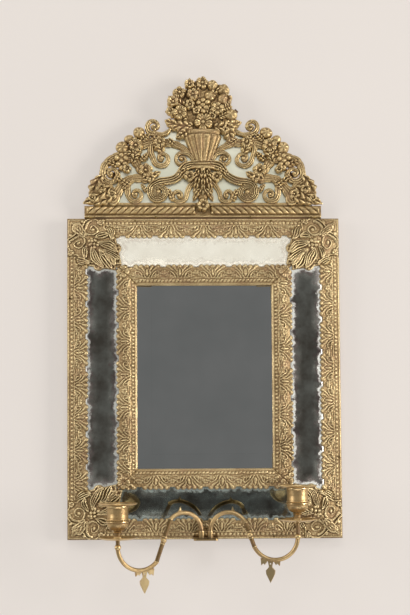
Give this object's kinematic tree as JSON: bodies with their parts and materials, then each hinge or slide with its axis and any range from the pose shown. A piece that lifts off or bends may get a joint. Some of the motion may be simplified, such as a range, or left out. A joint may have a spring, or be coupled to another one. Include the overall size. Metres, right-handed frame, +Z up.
{
  "type": "wall mirror with candle arms",
  "caption": "Wall mirror with an embossed brass cushion frame, bevelled centre glass, slanted side mirrors, pierced crest and two swinging candle arms.",
  "frame": {"origin": "middle of the back of the frame, on the wall", "axes": "+Z up, -Y out of the wall towards the viewer, +X to the viewer's right"},
  "size_m": [0.4, 0.1169, 0.7511],
  "materials": {
    "wood": "raw, darkened with age",
    "mirror_glass": "polished, silvered behind",
    "sheet_brass": "embossed sheet, worn bright on the high places",
    "cast_brass": "cast and turned, rubbed",
    "dark_brass": "dull, aged",
    "iron": "dull"
  },
  "bodies": {
    "frame": {"frame_rail_top": "wood", "frame_rail_bottom": "wood", "frame_stile_left": "wood", "frame_stile_right": "wood", "back_board": "wood", "centre_mirror": "mirror_glass", "mirror_backing": "wood", "side_mirror_top": "mirror_glass", "side_mirror_bottom": "mirror_glass", "side_mirror_left": "mirror_glass", "side_mirror_right": "mirror_glass", "outer_border_top": "sheet_brass", "outer_border_bottom": "sheet_brass", "outer_border_left": "sheet_brass", "outer_border_right": "sheet_brass", "inner_border_top": "sheet_brass", "inner_border_bottom": "sheet_brass", "inner_border_left": "sheet_brass", "inner_border_right": "sheet_brass", "corner_plate_top_left": "sheet_brass", "corner_plate_top_right": "sheet_brass", "corner_plate_bottom_left": "sheet_brass", "corner_plate_bottom_right": "sheet_brass", "border_nails": "dark_brass", "crest_board": "wood", "crest_mirror": "mirror_glass", "crest_relief": "sheet_brass", "crest_rail": "sheet_brass", "crest_nails": "dark_brass", "crest_brace": "wood", "crest_batten_left": "wood", "crest_batten_right": "wood", "batten_screws": "iron", "board_nails": "iron", "hanger_plate": "dark_brass", "hanger_screws": "iron", "arm_bracket": "dark_brass", "bracket_screws": "iron"},
    "left_arm": {"arm_left": "cast_brass", "drip_pan_left": "cast_brass", "candle_cup_left": "cast_brass"},
    "right_arm": {"arm_right": "cast_brass", "drip_pan_right": "cast_brass", "candle_cup_right": "cast_brass"},
    "left_ring": {"drip_ring_left": "cast_brass"},
    "right_ring": {"drip_ring_right": "cast_brass"}
  },
  "joints": [
    {"name": "arm_left_swing", "type": "hinge", "parent": "frame", "child": "left_arm", "pos_m": [-0.0062, -0.042, -0.228], "axis": [0, 0, 1], "range_deg": [-9, 53]},
    {"name": "arm_right_swing", "type": "hinge", "parent": "frame", "child": "right_arm", "pos_m": [0.0062, -0.042, -0.228], "axis": [0, 0, -1], "range_deg": [-3, 56]},
    {"name": "drip_ring_left_lift", "type": "slide", "parent": "left_arm", "child": "left_ring", "axis": [0, 0, 1], "range_m": [0, 0.012]},
    {"name": "drip_ring_right_lift", "type": "slide", "parent": "right_arm", "child": "right_ring", "axis": [0, 0, 1], "range_m": [0, 0.012]}
  ]
}
